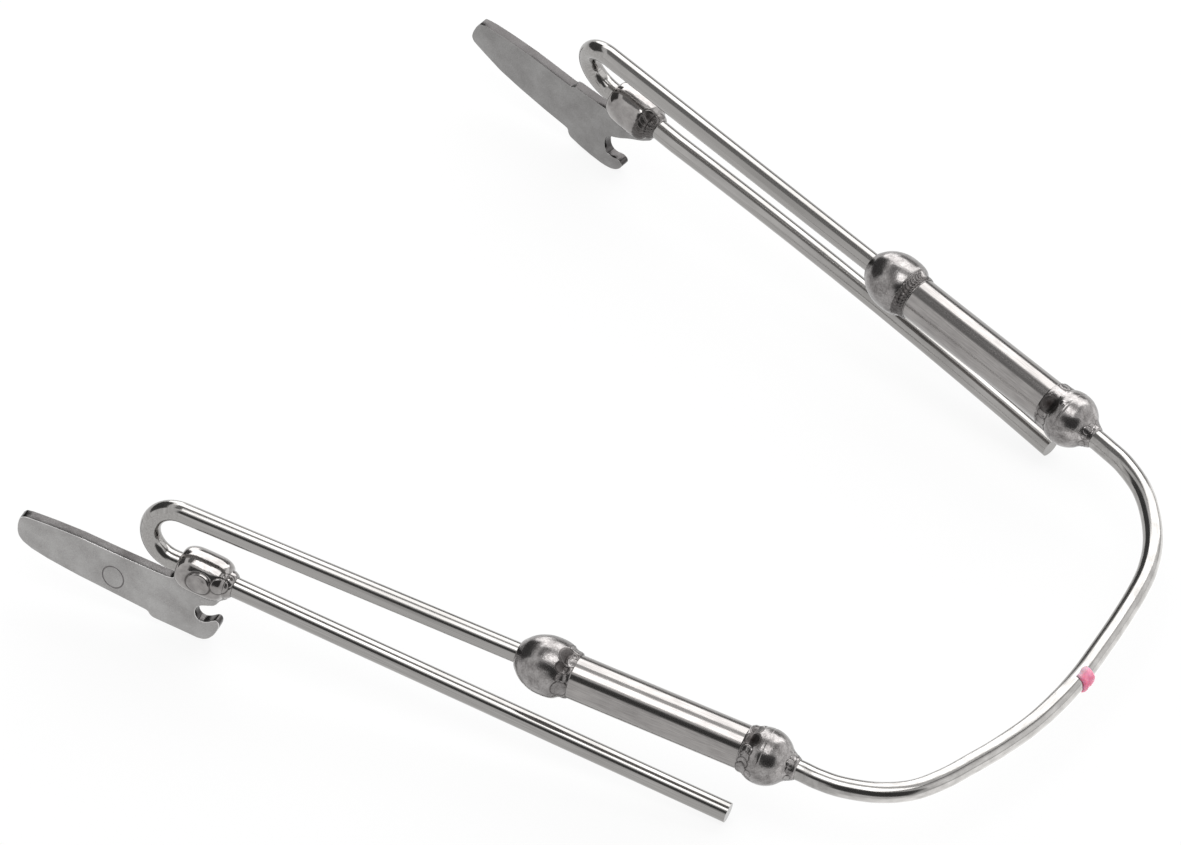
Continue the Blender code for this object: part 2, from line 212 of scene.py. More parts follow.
@dataclass(frozen=True)
class Steel:
    """Stainless steel with a given surface.

    Args:
        name: the material's name.
        dark: sRGB hex of the surface in its hollows and grain.
        light: sRGB hex of the clean surface.
        rough: lowest and highest roughness, mixed by the grain.
        grain: size of the grain in millimetres, across and along the UV map
            (or x, y, z of Object coordinates where uv is False).
        depth: bump distance of the grain in millimetres.
        mottle: size in millimetres of the broad cloudy variation.
        mottle_share: how much of the pattern is cloud, the rest being grain.
        uv: whether the pattern follows the piece's UV map, in millimetres.
        flat: for sheet, the direction square to its faces, on the cheek side.
        cut: for sheet, sRGB hex of its cut edge.
        grit: for sheet, how much of the face's colour shows through the cut.
    """

    name: str
    dark: str
    light: str
    rough: tuple[float, float]
    grain: tuple[float, float, float]
    depth: float
    mottle: float
    mottle_share: float = 0.5
    uv: bool = True
    flat: tuple[float, float, float] | None = None
    cut: str = ""
    grit: float = 0.0

    SOOT: ClassVar[str] = "241f1e"
    SOOT_ROUGH: ClassVar[float] = 0.38
    TOOTH_SIDE: ClassVar[tuple[float, ...]] = (0.72, 0.72, 0.72, 1.0)
    # Light colour painted on the cheek side's bevel as a highlight
    BEVEL_PAINTED_HIGHLIGHT: ClassVar[str] = "e2e1e0"
    BEVEL_ROUGH: ClassVar[float] = 0.16

    def edges(
        self, tree: bpy.types.NodeTree, colour: bpy.types.NodeSocket, grain: bpy.types.NodeSocket
    ) -> tuple[bpy.types.NodeSocket, bpy.types.NodeSocket]:
        """Tell the sheet's two faces and its cut edge apart by the piece's own normals.

        Out is 1 on the cheek side and -1 on the tooth side. Face is 1 on both
        sides, 0 on the cut edge and between them on a bevel.

        Args:
            tree: the node tree.
            colour: the sheet's colour.
            grain: the sheet's grain, from 0 to 1.

        Returns:
            The colour with the darker tooth side, the cut edge and the highlight painted on the cheek
            side's bevel in it, and a mask of edges and bevels.
        """
        normal = add_node(tree, "ShaderNodeTexCoord").outputs["Normal"]
        dot = add_node(tree, "ShaderNodeVectorMath", {0: normal, 1: self.flat}, operation="DOT_PRODUCT")
        out = dot.outputs["Value"]
        face = add_node(tree, MATH, {0: out}, operation="ABSOLUTE").outputs[0]
        inner = add_node(tree, RANGE, {"Value": out, "From Min": -0.7, "From Max": -0.9})
        edge = add_node(tree, RANGE, {"Value": face, "From Min": 0.3, "From Max": 0.12})
        bevel = add_node(tree, RANGE, {"Value": face, "From Min": 0.99, "From Max": 0.93})
        cheek = add_node(tree, RANGE, {"Value": out, "From Min": 0.15, "From Max": 0.35})
        shown = add_node(tree, RANGE, {"Value": grain, "To Min": 1.0, "To Max": 1.0 - self.grit})
        sawn = add_node(tree, MATH, {0: edge.outputs[0], 1: shown.outputs[0]}, operation="MULTIPLY")
        shine = add_node(tree, MATH, {0: bevel.outputs[0], 1: cheek.outputs[0]}, operation="MULTIPLY")
        # The tooth side's colour is multiplied by TOOTH_SIDE, which makes it darker
        inputs = {"Factor": inner.outputs[0], 6: colour, 7: self.TOOTH_SIDE}
        dull = add_node(tree, MIX, inputs, data_type="RGBA", blend_type="MULTIPLY")
        inputs = {"Factor": sawn.outputs[0], 6: dull.outputs[2], 7: linear(self.cut)}
        cut = add_node(tree, MIX, inputs, data_type="RGBA")
        # A highlight is painted on the cheek side's bevel: a light colour where the lamps' reflection would
        # fall
        inputs = {"Factor": shine.outputs[0], 6: cut.outputs[2], 7: linear(self.BEVEL_PAINTED_HIGHLIGHT)}
        painted_highlight = add_node(tree, MIX, inputs, data_type="RGBA")
        return painted_highlight.outputs[2], bevel.outputs[0]

    def make(self) -> bpy.types.Material:
        """Build the material, or find it where it is built already.

        Returns:
            The material.
        """
        made = bpy.data.materials.get(self.name)
        if made:
            return made
        made = bpy.data.materials.new(self.name)
        made.use_nodes = True
        tree = made.node_tree
        shader = tree.nodes["Principled BSDF"]
        shader.inputs["Metallic"].default_value = 1.0
        place = add_node(tree, "ShaderNodeTexCoord").outputs["UV" if self.uv else "Object"]
        unit = 1.0 if self.uv else 1 / MM
        fine = add_node(tree, MAPPING, {"Vector": place, "Scale": [unit / size for size in self.grain]})
        wide = add_node(tree, MAPPING, {"Vector": place, "Scale": [unit / self.mottle] * 3})
        inputs = {"Vector": fine.outputs[0], "Scale": 1.0, "Detail": 3.0, "Roughness": 0.6}
        noise = add_node(tree, NOISE, inputs).outputs["Fac"]
        inputs = {"Vector": wide.outputs[0], "Scale": 1.0, "Detail": 4.0, "Roughness": 0.55}
        cloud = add_node(tree, NOISE, inputs).outputs["Fac"]
        both = add_node(tree, MIX, {"Factor": self.mottle_share, "A": noise, "B": cloud}).outputs[0]
        share = add_node(tree, RANGE, {"Value": both, "From Min": 0.34, "From Max": 0.66}).outputs[0]
        inputs = {"Factor": share, 6: linear(self.dark), 7: linear(self.light)}
        colour = add_node(tree, MIX, inputs, data_type="RGBA").outputs[2]
        soot = add_node(tree, "ShaderNodeAttribute", attribute_name="soot").outputs["Fac"]
        inputs = {"Factor": soot, 6: colour, 7: linear(self.SOOT)}
        base = add_node(tree, MIX, inputs, data_type="RGBA").outputs[2]
        inputs = {"Value": share, "To Min": self.rough[1], "To Max": self.rough[0]}
        rough = add_node(tree, RANGE, inputs).outputs[0]
        dull = add_node(tree, MIX, {"Factor": soot, "A": rough, "B": self.SOOT_ROUGH}).outputs[0]
        if self.flat:
            base, bevel = self.edges(tree, base, share)
            dull = add_node(tree, MIX, {"Factor": bevel, "A": dull, "B": self.BEVEL_ROUGH}).outputs[0]
        inputs = {"Height": both, "Strength": 1.0, "Distance": self.depth * MM}
        bump = add_node(tree, "ShaderNodeBump", inputs)
        tree.links.new(base, shader.inputs["Base Color"])
        tree.links.new(dull, shader.inputs["Roughness"])
        tree.links.new(bump.outputs[0], shader.inputs["Normal"])
        return made


# Cold drawn round wire, electropolished: a near mirror, with faint drawing lines along it. Here and on
# the tube the lines are about 0.05 mm wide, several times their real width, so that they show.
WIRE = Steel(
    "polished_wire_finish", "8e8c8a", "a7a5a3", (0.1, 0.17), (0.05, 2.5, 1.0),
    depth=0.0006, mottle=1.6, mottle_share=0.12,
)  # fmt: skip
# Seamless drawn tube, polished on a wheel: bright bands, with borders made grainy by the lines.
TUBE = Steel(
    "polished_tube_finish", "83807f", "a29f9d", (0.1, 0.19), (0.045, 1.1, 1.0),
    depth=0.0016, mottle=1.2, mottle_share=0.35,
)  # fmt: skip
# Turned beads, laser welded and tumbled with stone: soft cloudy shine with fine pits, dark in the welds.
TUMBLED = Steel(
    "tumbled_steel_finish", "605d5c", "a19e9d", (0.12, 0.28), (0.07, 0.07, 0.07),
    depth=0.01, mottle=0.45, mottle_share=0.6, uv=False,
)  # fmt: skip
# Bead polished by hand with a rubber wheel: a wavy mirror with hard dark and white reflections.
BRIGHT = Steel(
    "bright_steel_finish", "7f7c7b", "a7a4a2", (0.06, 0.14), (0.4, 0.16, 0.4),
    depth=0.011, mottle=0.7, mottle_share=0.6, uv=False,
)  # fmt: skip
# Collar as it leaves the lathe, hidden in the tube: half dull, with fine tool marks.
TURNED = Steel(
    "turned_steel_finish", "7f7c7b", "a5a2a1", (0.24, 0.36), (0.4, 0.03, 0.4),
    depth=0.002, mottle=1.0, mottle_share=0.3, uv=False,
)  # fmt: skip
# Hard drawn spring wire, hidden in the tube and left as drawn: darker and duller than the polished wire.
SPRING = Steel(
    "spring_alloy_finish", "6d6b6c", "8f8d8e", (0.2, 0.3), (0.1, 0.1, 0.1),
    depth=0.001, mottle=1.0, mottle_share=0.4, uv=False,
)  # fmt: skip


def satin(side: Side, out: Vector) -> Steel:
    """Return the finish of a plate.

    Rolled sheet, cut out and ground: an even satin with faint clouds, a darker
    cut edge with some grit, and a thin bright line painted on the cheek side's
    bevel as a highlight.

    Args:
        side: which plate.
        out: the direction square to its cheek side.

    Returns:
        The finish.
    """
    cut, grit = ("454343", 0.1) if side is Side.LEFT else ("3a3838", 0.2)
    return Steel(
        f"satin_{side.value}_finish", "8c8a89", "abaaa9", (0.3, 0.42), (0.05, 0.05, 0.05),
        depth=0.005, mottle=1.1, uv=False, flat=tuple(out), cut=cut, grit=grit,
    )  # fmt: skip


def groove() -> bpy.types.Material:
    """Return the finish of a fine cut: dull steel that no wheel reaches, so a soft grey line.

    Returns:
        The material, built once.
    """
    made = bpy.data.materials.get("groove_scale") or bpy.data.materials.new("groove_scale")
    made.use_nodes = True
    shader = made.node_tree.nodes["Principled BSDF"]
    shader.inputs["Base Color"].default_value = linear("7f7c7c")
    shader.inputs["Metallic"].default_value = 1.0
    shader.inputs["Roughness"].default_value = 0.5
    return made


def dress(piece: bpy.types.Object, material: bpy.types.Material) -> None:
    """Give every face of a piece the material."""
    piece.data.materials.clear()
    piece.data.materials.append(material)


# Modelling


def only(piece: bpy.types.Object) -> None:
    """Select one object, and make it the active one.

    Args:
        piece: the object.
    """
    bpy.ops.object.select_all(action="DESELECT")
    bpy.context.view_layer.objects.active = piece
    piece.select_set(True)


def points_of(piece: bpy.types.Object) -> np.ndarray:
    """Read a piece's points.

    Args:
        piece: the piece.

    Returns:
        Its points in millimetres, one a row.
    """
    flat = np.empty(len(piece.data.vertices) * 3)
    piece.data.vertices.foreach_get("co", flat)
    return flat.reshape(-1, 3) / MM


def set_points(piece: bpy.types.Object, points: np.ndarray) -> None:
    """Move a piece's points to these places, in millimetres."""
    piece.data.vertices.foreach_set("co", (points * MM).ravel())
    piece.data.update()


def in_span(knots: list, t: float) -> np.ndarray | Vector:
    """Return the point at share t of a Catmull-Rom span, between the middle two of four knots."""
    a, b, c, d = knots
    return 0.5 * (2 * b + (c - a) * t + (2 * a - 5 * b + 4 * c - d) * t**2 + (3 * b - a - 3 * c + d) * t**3)


def smooth_rows(rows: list[tuple[float, float]], spacing: float = 0.03) -> list[tuple[float, float]]:
    """Draw a smooth curve through the rows of a profile.

    Args:
        rows: (along, radius) of each row, in millimetres.
        spacing: about how far apart the curve's points lie.

    Returns:
        The curve's points.
    """
    ends = [np.array(row) for row in (rows[0], *rows, rows[-1])]
    made = []
    for i in range(len(rows) - 1):
        knots = ends[i : i + 4]
        count = max(1, round(float(np.linalg.norm(knots[2] - knots[1])) / spacing))
        made += [tuple(in_span(knots, k / count)) for k in range(count)]
    return [*made, tuple(rows[-1])]


def smooth_path(points: list[Vector], per_span: int) -> list[Vector]:
    """Draw a smooth curve through places, straight at its ends.

    Args:
        points: the places, in millimetres.
        per_span: how many steps lie between two of them.

    Returns:
        The curve's points.
    """
    ends = [points[0] * 2 - points[1], *points, points[-1] * 2 - points[-2]]
    spans = [ends[i : i + 4] for i in range(len(points) - 1)]
    path = [in_span(knots, k / per_span) for knots in spans for k in range(per_span)]
    return [*path, points[-1]]


def edge_loop(name: str, corners: list[Vector]) -> bpy.types.Object:
    """Make an object of one closed loop of edges.

    Args:
        name: the piece's name.
        corners: the loop's corners in millimetres.

    Returns:
        The object, the only one selected.
    """
    mesh = bpy.data.meshes.new(name)
    edges = [(i, (i + 1) % len(corners)) for i in range(len(corners))]
    mesh.from_pydata([corner * MM for corner in corners], edges, [])
    piece = bpy.data.objects.new(name, mesh)
    bpy.context.scene.collection.objects.link(piece)
    only(piece)
    return piece


def face_out(piece: bpy.types.Object, merge: bool = False, smooth: float = 0.0) -> None:
    """Turn the faces of a closed piece outward.

    Args:
        piece: the piece.
        merge: whether points at one place are joined first.
        smooth: edges that turn by fewer degrees are shaded smooth, where it isn't zero.
    """
    only(piece)
    bpy.ops.object.mode_set(mode="EDIT")
    bpy.ops.mesh.select_all(action="SELECT")
    if merge:
        bpy.ops.mesh.remove_doubles(threshold=SAME_POINT)
    bpy.ops.mesh.normals_make_consistent(inside=False)
    bpy.ops.object.mode_set(mode="OBJECT")
    if smooth:
        bpy.ops.object.shade_smooth_by_angle(angle=math.radians(smooth))


def spin(name: str, line: Line, rows: list[tuple[float, float]], steps: int) -> bpy.types.Object:
    """Turn a closed profile about a line in edit mode.

    Args:
        name: the piece's name.
        line: the axis.
        rows: (along, radius) round the profile.
        steps: how many steps a full turn has.

    Returns:
        The piece, smooth shaded, its faces outward.
    """
    piece = edge_loop(name, [line.at(t, r) for t, r in rows])
    bpy.ops.object.mode_set(mode="EDIT")
    bpy.ops.mesh.select_all(action="SELECT")
    centre = line.centre * MM
    bpy.ops.mesh.spin(steps=steps, angle=math.tau, use_auto_merge=True, center=centre, axis=line.direction)
    bpy.ops.object.mode_set(mode="OBJECT")
    face_out(piece, merge=True, smooth=SMOOTH_BELOW)
    return piece


def map_round(piece: bpy.types.Object, line: Line, radius: float) -> None:
    """Lay a UV map in millimetres round a turned piece: u round it, v along it.

    On a face that spans the seam at 180 degrees all corners are counted from -180.

    Args:
        piece: the piece.
        line: its axis.
        radius: where u is true to size.
    """
    mesh = piece.data
    along, degrees, _ = line.polar(points_of(piece))
    corner = np.empty(len(mesh.loops), np.int32)
    start, total = np.empty((2, len(mesh.polygons)), np.int32)
    mesh.loops.foreach_get("vertex_index", corner)
    mesh.polygons.foreach_get("loop_start", start)
    mesh.polygons.foreach_get("loop_total", total)
    turn = degrees[corner]
    first = np.repeat(turn[start], total)
    turn = first + (turn - first + 180) % 360 - 180
    turn -= 360 * np.repeat(np.maximum.reduceat(turn, start) > 180, total)
    uv = np.stack([np.radians(turn) * radius, along[corner]], 1)
    mesh.uv_layers.new(name="round").data.foreach_set("uv", uv.ravel())


def bent_wire(name: str, path: list[Vector], radius: float, sides: int) -> bpy.types.Object:
    """Draw a round wire with flat ends along a path, as a curve made a mesh.

    Args:
        name: the piece's name.
        path: places along the centre line, in millimetres.
        radius: the wire's radius in millimetres.
        sides: how many sides the wire has round it.

    Returns:
        The piece, smooth shaded, with a UV map in millimetres.
    """
    bpy.ops.object.select_all(action="DESELECT")
    bpy.ops.curve.primitive_bezier_curve_add()
    piece = bpy.context.object
    piece.name = name
    curve = piece.data
    curve.splines.clear()
    curve.dimensions, curve.twist_mode, curve.use_fill_caps = "3D", "MINIMUM", True
    curve.bevel_depth, curve.bevel_resolution = radius * MM, (sides - 4) // 2
    spline = curve.splines.new("POLY")
    spline.points.add(len(path) - 1)
    for point, place in zip(spline.points, path):
        point.co = (*(place * MM), 1.0)
    only(piece)
    bpy.ops.object.convert(target="MESH")
    piece = bpy.context.object
    mesh = piece.data
    mesh.name = name
    layer = mesh.uv_layers[0]
    uv = np.empty(len(mesh.loops) * 2)
    layer.data.foreach_get("uv", uv)
    turn, step = uv.reshape(-1, 2).T
    reached = np.cumsum([0.0] + [(b - a).length for a, b in zip(path, path[1:])])
    along = np.interp(step * (len(path) - 1), np.arange(len(path)), reached)
    uv = np.stack([turn * math.tau * radius, along], 1)
    layer.data.foreach_set("uv", uv.ravel())
    face_out(piece, merge=True, smooth=SMOOTH_BELOW)
    return piece


# Weld spots


@dataclass(frozen=True)
class Spot:
    """One laser weld spot on a turned surface.

    Args:
        along: place along the part's axis.
        degrees: angle round it.
        size: half its length along the axis and half its width round it.
        rise: height of its rounded bed over the surface; below zero for a crater.
        rim: height of the raised rim.
        soot: how dark its bed is, from 0 to 1.
        groove: how dark the groove round it is.
    """

    along: float
    degrees: float
    size: tuple[float, float]
    rise: float = 0.03
    rim: float = 0.02
    soot: float = 0.0
    groove: float = 0.8


def chain(
    along: float, start: float, end: float, count: int, size: tuple[float, float], *looks: float
) -> list[Spot]:
    """Weld overlapping spots evenly round the axis.

    Args:
        along: place along the part's axis.
        start: angle of the first spot.
        end: angle of the last spot.
        count: how many spots there are.
        size: half length and half width of each.
        looks: each spot's rise, rim and soot, where they aren't the usual ones.

    Returns:
        The spots, in the order they are welded.
    """
    return [Spot(along, start + (end - start) * i / (count - 1), size, *looks) for i in range(count)]


def bell(places: np.ndarray, middle: float, half: float) -> np.ndarray:
    """Return a smooth rise to 1 about a middle, with a given half width."""
    return np.exp(-(((places - middle) / half) ** 2))


def push_out(piece: bpy.types.Object, line: Line, height: np.ndarray) -> None:
    """Move the points of a turned piece away from its axis.

    Args:
        piece: the piece.
        line: its axis.
        height: how far each point moves, in millimetres.
    """
    points = points_of(piece)
    along, _, radius = line.polar(points)
    away = points - np.array(line.centre) - np.outer(along, np.array(line.direction))
    set_points(piece, points + away / radius[:, None] * height[:, None])


def stamp(piece: bpy.types.Object, line: Line, spots: list[Spot], outer: float, inner: float) -> None:
    """Press weld spots into a turned piece, each over the one before, like scales.

    Each spot is a rounded bed with a raised rim and a groove round it. Far is
    the distance from its middle in shares of its size, with 1 at its border.

    Args:
        piece: a finely divided turned piece.
        line: its axis.
        spots: the spots in the order they were welded.
        outer: points nearer the axis than this are left alone.
        inner: radius of what lies inside, which no crater reaches.
    """
    rim_at, groove_at, rim_end, skin = 0.82, 1.02, 1.3, 0.015
    rim_half, groove_half, soot_half = 0.12, 0.07, 0.09
    along, degrees, radius = line.polar(points_of(piece))
    height, soot = np.zeros((2, len(along)))
    for spot in spots:
        u = (along - spot.along) / spot.size[0]
        v = np.radians((degrees - spot.degrees + 180) % 360 - 180) * radius / spot.size[1]
        far = np.hypot(u, v)
        inside = far < 1.0
        bed = spot.rise * (1 - np.clip(far, 0, 1) ** 2)
        raised = spot.rim * bell(far, rim_at, rim_half)
        sunk = spot.rim * 0.9 * bell(far, groove_at, groove_half)
        rim = raised - sunk
        height = np.where(inside, bed + rim, height + np.where(far < rim_end, rim, 0.0))
        soot = np.where(inside, spot.soot * (1 - 0.35 * np.clip(far, 0, 1)), soot)
        soot = np.maximum(soot, spot.groove * bell(far, groove_at, soot_half))
    height = np.maximum(height, np.minimum(radius, inner + skin) - radius)
    height[radius < outer] = 0.0
    soot[radius < outer] = 0.0
    piece.data.attributes.new("soot", "FLOAT", "POINT").data.foreach_set("value", soot)
    push_out(piece, line, height)


# The appliance


@dataclass
class Telescope:
    """Rear cap, tube, front ball and spring of one side.

    The barrel is the cap's profile: places along the axis and heights over the
    tube. Places on cap, tube and spring are measured from the cap, and places
    on the ball from the ball.
    """

    side: Side
    steps: int = 256
    barrel: Rows = (
        (-1.47, -0.475), (-1.41, -0.36), (-1.28, -0.215), (-1.1, -0.045), (-0.88, 0.1), (-0.62, 0.215),
        (-0.35, 0.29), (-0.05, 0.32), (0.25, 0.315), (0.48, 0.285), (0.65, 0.225), (0.76, 0.14),
        (0.88, 0.085), (1.03, 0.075), (1.14, 0.045), (1.17, 0.012),
    )  # fmt: skip
    ball_r: float = TUBE_R + 0.28
    line: Line = field(init=False)
    front: Line = field(init=False)

    def __post_init__(self) -> None:
        """Set the cap's and the ball's axes."""
        self.line = Line(self.side.place(CAP), self.side.place(AXIS))
        self.front = Line(self.side.place(BALL), self.side.place(AXIS))

    def piece(self, name: str) -> str:
        """Return a piece's name with its side."""
        return f"{self.side.value}_{name}"

    def cap(self) -> bpy.types.Object:
        """Build the rear cap with its welded neck.

        Returns:
            The cap.
        """
        left = self.side is Side.LEFT
        shoulder, dome = (0.13, 0.1) if left else (0.0, 0.0)
        rows = [(t + (shoulder if t > 0.2 else dome), TUBE_R + rise) for t, rise in self.barrel]
        rows = smooth_rows(rows)
        back, bore, lead_in, mouth, lip = rows[0][0], WIRE_R + RUN_GAP, 0.06, 0.05, 0.012
        rows += [(TUBE_SEAT, TUBE_R + SEAT_GAP), (TUBE_SEAT, bore + lead_in), (TUBE_SEAT - lead_in, bore)]
        rows += [(back + mouth, bore), (back, bore + lip)]
        cap = spin(self.piece("rear_cap_welded"), self.line, rows, self.steps)
        map_round(cap, self.line, TUBE_R)
        if left:
            spots = chain(1.02, -172, -60, 8, (0.24, 0.26))
            spots += chain(1.02, 190, 62, 15, (0.23, 0.27), -0.03, 0.03, 0.75)
            spots += [Spot(1.0, 60, (0.2, 0.17), 0.07, 0.01)]
        else:
            spots = chain(0.9, -90, 60, 12, (0.28, 0.3), 0.02, 0.02)
            spots += [
                Spot(0.88, 172, (0.32, 0.44), -0.05, 0.02, 0.2),
                Spot(0.84, 143, (0.26, 0.24), -0.05, 0.02, 0.45),
                Spot(0.76, 121, (0.3, 0.26), -0.12, 0.015, 0.9),
                Spot(0.8, 92, (0.42, 0.44), -0.16, 0.02, 0.9),
                Spot(1.0, 96, (0.2, 0.3), -0.12, 0.0, 0.15, 0.5),
            ]
        stamp(cap, self.line, spots, TUBE_R + 0.005, TUBE_R)
        dress(cap, TUMBLED.make())
        return cap

    def ball(self) -> bpy.types.Object:
        """Build the front ball with its equator seam and weld chain.

        Returns:
            The ball.
        """
        left = self.side is Side.LEFT
        middle = 0.03 if left else -0.19
        front = middle + self.ball_r
        rows = [(-1.17, TUBE_R + SEAT_GAP), (-1.14, 1.02), (-1.03, 1.05), (-0.88, 1.057)]
        for share in (-0.5, -0.34, -0.186, 0.0, 0.2, 0.37, 0.53, 0.67, 0.79):
            rows.append((middle + self.ball_r * share, self.ball_r * math.sqrt(1 - share**2)))
        for t, rise in ((-0.12, 0.2), (-0.02, 0.13), (0.08, 0.1), (0.17, 0.07), (0.24, SEAT_GAP)):
            rows.append((front + t, WIRE_R + rise))
        rows = smooth_rows(rows)
        hollow, wire_seat = 0.2, 0.5
        rows += [(wire_seat, WIRE_R + SEAT_GAP), (wire_seat, hollow)]
        rows += [(-BALL_SEAT, hollow), (-BALL_SEAT, TUBE_R + SEAT_GAP)]
        ball = spin(self.piece("front_ball_welded"), self.front, rows, self.steps)
        map_round(ball, self.front, TUBE_R)
        if left:
            spots = chain(-0.84, -60, 60, 8, (0.26, 0.26)) + chain(-0.82, -160, -90, 5, (0.24, 0.26))
            spots += [
                Spot(-0.72, 192, (0.3, 0.28), 0.0, 0.03),
                Spot(-0.74, 172, (0.27, 0.24), 0.0, 0.03),
                Spot(-0.76, 154, (0.26, 0.24), -0.02, 0.03, 0.1),
                Spot(-0.76, 126, (0.44, 0.42), -0.08, 0.01, 1.0, 0.95),
                Spot(-0.2, 106, (0.13, 0.15), 0.05, 0.0),
            ]
        else:
            spots = chain(-0.84, -90, 70, 9, (0.26, 0.26))
            spots += [
                Spot(-0.84, 72, (0.26, 0.36), -0.06, 0.02, 0.8),
                Spot(-0.78, 104, (0.34, 0.33), -0.07, 0.01, 1.0, 0.95),
                Spot(-0.84, 131, (0.25, 0.24), -0.02, 0.03),
                Spot(-0.84, 147, (0.25, 0.22), -0.02, 0.03),
                Spot(-0.84, 162, (0.26, 0.22), -0.02, 0.03),
                Spot(-0.86, 181, (0.28, 0.3), 0.02, 0.03),
                Spot(-0.5, 182, (0.15, 0.2), 0.02, 0.02),
            ]
        spots += chain(front - 0.02, 0, 330, 8, (0.13, 0.2), 0.02, 0.015)
        spots += [Spot(front - 0.05, 118, (0.16, 0.2), 0.05, 0.01)]
        stamp(ball, self.front, spots, 0.5, TUBE_R)
        self.seam(ball, middle)
        dress(ball, TUMBLED.make())
        return ball

    def seam(self, ball: bpy.types.Object, middle: float) -> None:
        """Sink the fine seam line round the ball's equator.

        Args:
            ball: the ball.
            middle: where its equator lies along the axis.
        """
        deep, half = 0.022, 0.022
        along, _, radius = self.front.polar(points_of(ball))
        depth = deep * bell(along, middle, half)
        depth[radius < TUBE_R] = 0.0
        push_out(ball, self.front, -depth)

    def tube(self) -> bpy.types.Object:
        """Build the tube, open at both ends inside cap and ball.

        Returns:
            The tube.
        """
        back, front, bore = TUBE_SEAT + 0.01, TUBE_END, TUBE_R - TUBE_WALL
        edge, inset, spans = 0.04, 0.06, 8
        rows = [(back, bore), (front, bore), (front, TUBE_R - edge), (front - edge, TUBE_R)]
        long = front - back - 2 * inset
        rows += [(front - inset - long * i / spans, TUBE_R) for i in range(spans + 1)]
        rows += [(back + edge, TUBE_R), (back, TUBE_R - edge)]
        tube = spin(self.piece("tube_polished"), self.line, rows, 128)
        map_round(tube, self.line, TUBE_R)
        dress(tube, TUBE.make())
        return tube

    def spring(self) -> bpy.types.Object:
        """Wind the compression spring between collar and ball, with a flatter turn at each end.

        Returns:
            The spring.
        """
        turns, steps, radius, wire, end_rise = 10, 16, 0.62, 0.1, 0.24
        first, last = SPRING_BACK + wire, TUBE_END - wire
        path = []
        for i in range(turns * steps + 1):
            turn = i / steps
            if turn < 1:
                along = first + end_rise * turn
            elif turn > turns - 1:
                along = last - end_rise * (turns - turn)
            else:
                along = first + end_rise + (last - first - 2 * end_rise) * (turn - 1) / (turns - 2)
            path.append(self.line.at(along, radius, 360 * turn))
        spring = bent_wire(self.piece("spring_wound"), path, wire, 8)
        dress(spring, SPRING.make())
        return spring

    def build(self) -> None:
        """Build the pieces and ride them on the front body."""
        for piece, node, slot in (
            (self.cap(), "rear_cap", "tumbled_steel"),
            (self.ball(), "front_ball", "tumbled_steel"),
            (self.tube(), "tube", "polished_tube"),
            (self.spring(), "spring", "spring_alloy"),
        ):
            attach(piece, "front")
            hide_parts(self.piece(node))
            LOG.info("%s stands for %s", piece.name, self.piece(node))
            if node == "spring":
                anchor = self.line.at(TUBE_END, 0.0)
                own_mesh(piece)


@dataclass
class Arm:
    """Arm wire and sheath of one side.

    The bead is the sheath's profile in shares of its half length and radius.
    The neck is its weld to the wire: places past its end and heights over the wire.
    """

    side: Side
    rod_end: float = 1.32
    ease: float = 0.45
    bead_at: float = 1.0
    bead_half: float = 1.2
    bead_r: float = 0.99
    bead: Rows = (
        (-1.0, 0.566), (-0.94, 0.747), (-0.817, 0.869), (-0.625, 0.96), (-0.35, 1.0),
        (0.292, 1.0), (0.55, 0.97), (0.75, 0.889), (0.867, 0.768),
    )  # fmt: skip
    neck: Rows = ((-0.12, 0.21), (-0.02, 0.18), (0.05, 0.15), (0.14, 0.1), (0.2, 0.032))

    def path(self) -> tuple[list[Vector], Vector, Vector]:
        """Lay out the wire: rod, upper leg, U-bend, eased corner and lower leg.

        Returns:
            The centre line, and the lower leg's corner and direction.
        """
        down = (BEND_DOWN - AXIS * BEND_DOWN.dot(AXIS)).normalized()
        centre = BEND + down * BEND_R
        path = [CAP + AXIS * self.rod_end, CAP, CAP.lerp(BEND, 0.35), CAP.lerp(BEND, 0.88)]
        bend_steps, ease_steps = 48, 8
        for i in range(bend_steps + 1):
            turn = math.pi * i / bend_steps
            path.append(centre - down * BEND_R * math.cos(turn) - AXIS * BEND_R * math.sin(turn))
        start = path.pop()
        corner = start + AXIS * self.ease
        leg = (LEG_FRONT - corner).normalized()
        last = corner + leg * self.ease
        for i in range(ease_steps + 1):
            t = i / ease_steps
            path.append(start * (1 - t) ** 2 + corner * 2 * t * (1 - t) + last * t**2)
        bow = Vector((0, 0.16, 0.08)) if self.side is Side.LEFT else Vector((0, 0, 0))
        straight = 0.12
        for share in (0.04, 0.12, 0.2, 0.3, 0.4, 0.5, 0.6, 0.7, 0.8, 0.9, 1.0):
            bowed = max(0.0, (share - straight) / (1 - straight))
            path.append(last.lerp(LEG_FRONT, share) + bow * 4 * bowed * (1 - bowed))
        return [self.side.place(p) for p in path], self.side.place(corner), self.side.place(leg)

    def wire(self) -> bpy.types.Object:
        """Bend the arm wire.

        Returns:
            The wire.
        """
        wire = bent_wire(f"{self.side.value}_arm_wire_polished", self.path()[0], WIRE_R, 48)
        dress(wire, WIRE.make())
        return wire

